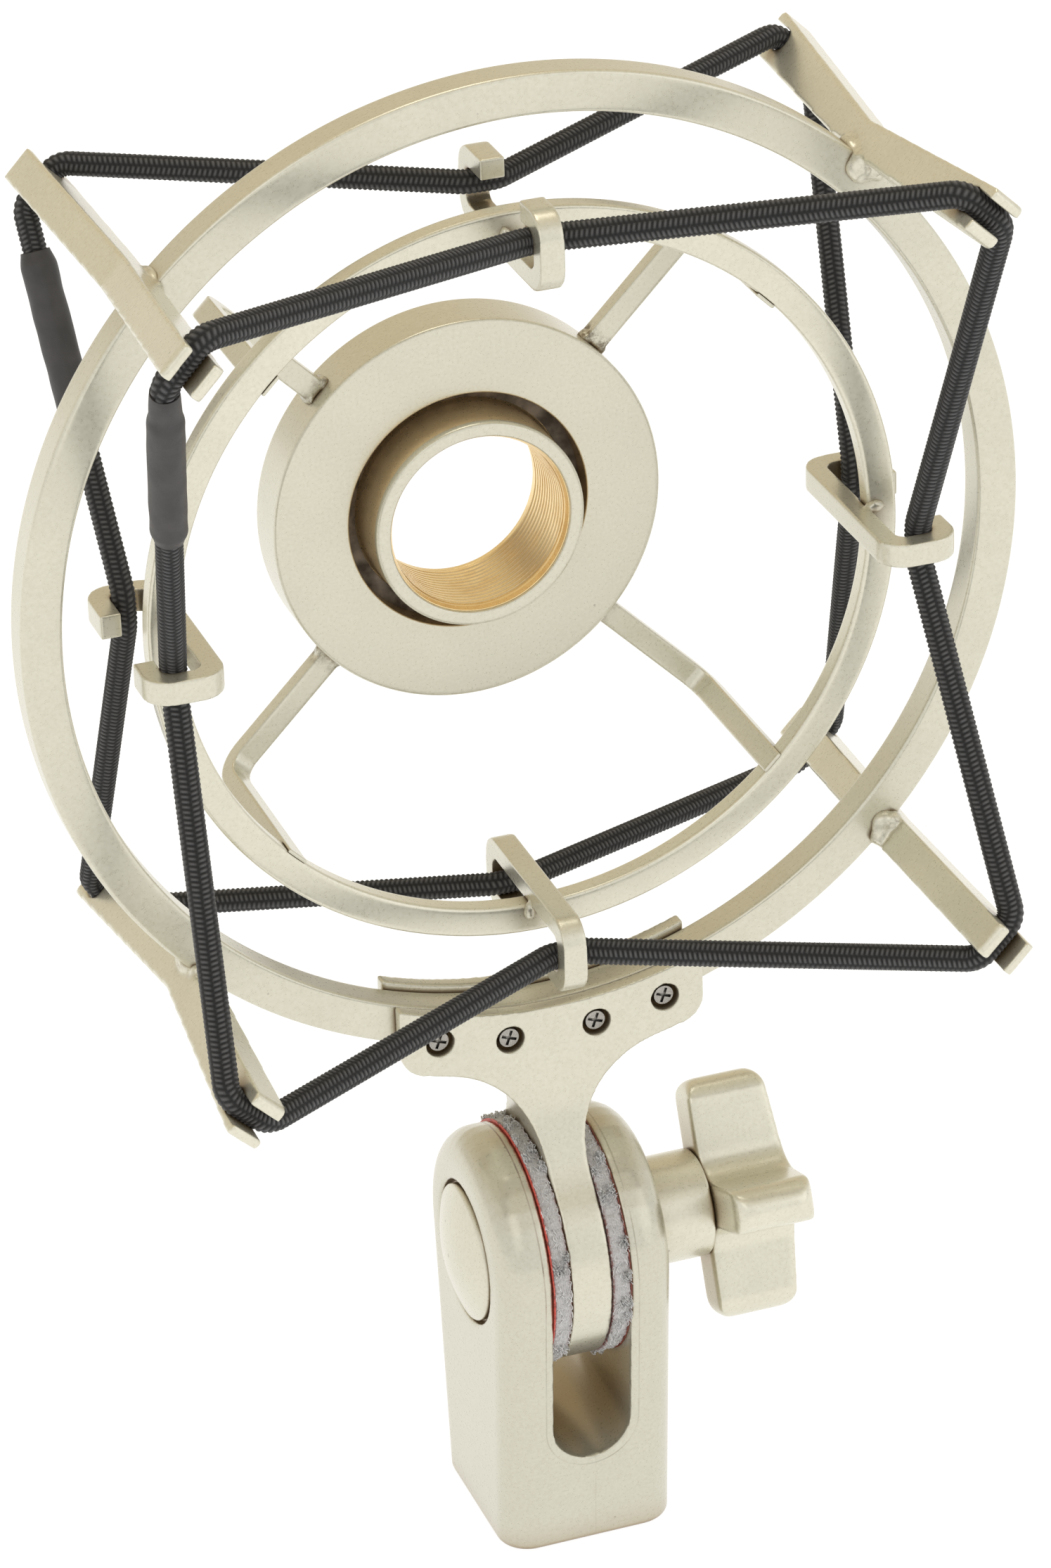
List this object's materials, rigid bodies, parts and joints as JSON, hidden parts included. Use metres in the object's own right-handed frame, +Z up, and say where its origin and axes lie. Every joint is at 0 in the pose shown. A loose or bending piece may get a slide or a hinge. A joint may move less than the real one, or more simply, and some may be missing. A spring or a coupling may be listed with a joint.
{
  "type": "microphone shock mount",
  "caption": "Round elastic-cord suspension mount for a studio microphone: a sprung cradle with a threaded collar in a ring frame that tilts on a clamp block for a stand.",
  "frame": {"origin": "mouth of the stand thread, in the middle of the block's foot", "axes": "+Z up, -Y the front, where the microphone points away from the hub, +X the side with the clamp knob"},
  "size_m": [0.15, 0.077, 0.232],
  "materials": {
    "champagne_paint": "satin metallic lacquer with fine speckle",
    "elastic_cord": "braided textile sheath over an elastic core",
    "shrink_sleeve": "satin heat-shrink tube",
    "friction_fibre": "compressed grey fibre with frayed white strands",
    "adhesive_film": "thin red adhesive film",
    "nickel_screws": "bright nickel plate",
    "thread_brass": "bright turned brass",
    "plain_steel": "turned",
    "spring_steel": "darkened spring steel"
  },
  "bodies": {
    "stand": {"stand_block": "champagne_paint", "pivot_bolt": "champagne_paint", "friction_pad_left": "friction_fibre", "friction_pad_right": "friction_fibre", "pad_film_left": "adhesive_film", "pad_film_right": "adhesive_film"},
    "knob_carrier": {"knob_spacer": "champagne_paint"},
    "knob": {"clamp_knob": "champagne_paint", "knob_insert": "plain_steel"},
    "frame": {"saddle_bracket": "champagne_paint", "saddle_screws": "nickel_screws", "outer_ring": "champagne_paint", "arm_top_right": "champagne_paint", "arm_top_left": "champagne_paint", "arm_bottom_left": "champagne_paint", "arm_bottom_right": "champagne_paint", "front_cord": "elastic_cord", "rear_cord": "elastic_cord", "front_cord_sleeve": "shrink_sleeve", "rear_cord_sleeve": "shrink_sleeve"},
    "cradle": {"inner_ring": "champagne_paint", "hook_right": "champagne_paint", "hook_top": "champagne_paint", "hook_left": "champagne_paint", "hook_bottom": "champagne_paint", "spoke_top_right": "champagne_paint", "spoke_top_left": "champagne_paint", "spoke_bottom_left": "champagne_paint", "spoke_bottom_right": "champagne_paint", "hub_disc": "champagne_paint", "collar_retaining_ring": "spring_steel"},
    "collar": {"collar_sleeve": "champagne_paint", "collar_thread_insert": "thread_brass"}
  },
  "joints": [
    {"name": "frame_tilt", "type": "hinge", "parent": "stand", "child": "frame", "pos_m": [0, 0, 0.046], "axis": [1, 0, 0], "range_deg": [-90, 90]},
    {"name": "cradle_float", "type": "slide", "parent": "frame", "child": "cradle", "axis": [0, 1, 0], "range_m": [-0.005, 0.005], "stiffness_N_per_m": 400, "deforming": ["front_cord", "rear_cord", "front_cord_sleeve", "rear_cord_sleeve"]},
    {"name": "collar_spin", "type": "hinge", "parent": "cradle", "child": "collar", "pos_m": [0, 0.0245, 0.1556], "axis": [0, 1, 0], "continuous": true},
    {"name": "knob_travel", "type": "slide", "parent": "stand", "child": "knob_carrier", "axis": [1, 0, 0], "range_m": [0, 0.0025]},
    {"name": "knob_turn", "type": "hinge", "parent": "knob_carrier", "child": "knob", "pos_m": [0.024, 0, 0.046], "axis": [-1, 0, 0], "range_deg": [0, 720]}
  ],
  "couplings": [
    {"joint": "knob_turn", "follows": "knob_travel", "rad_per_m": 5026.5}
  ]
}
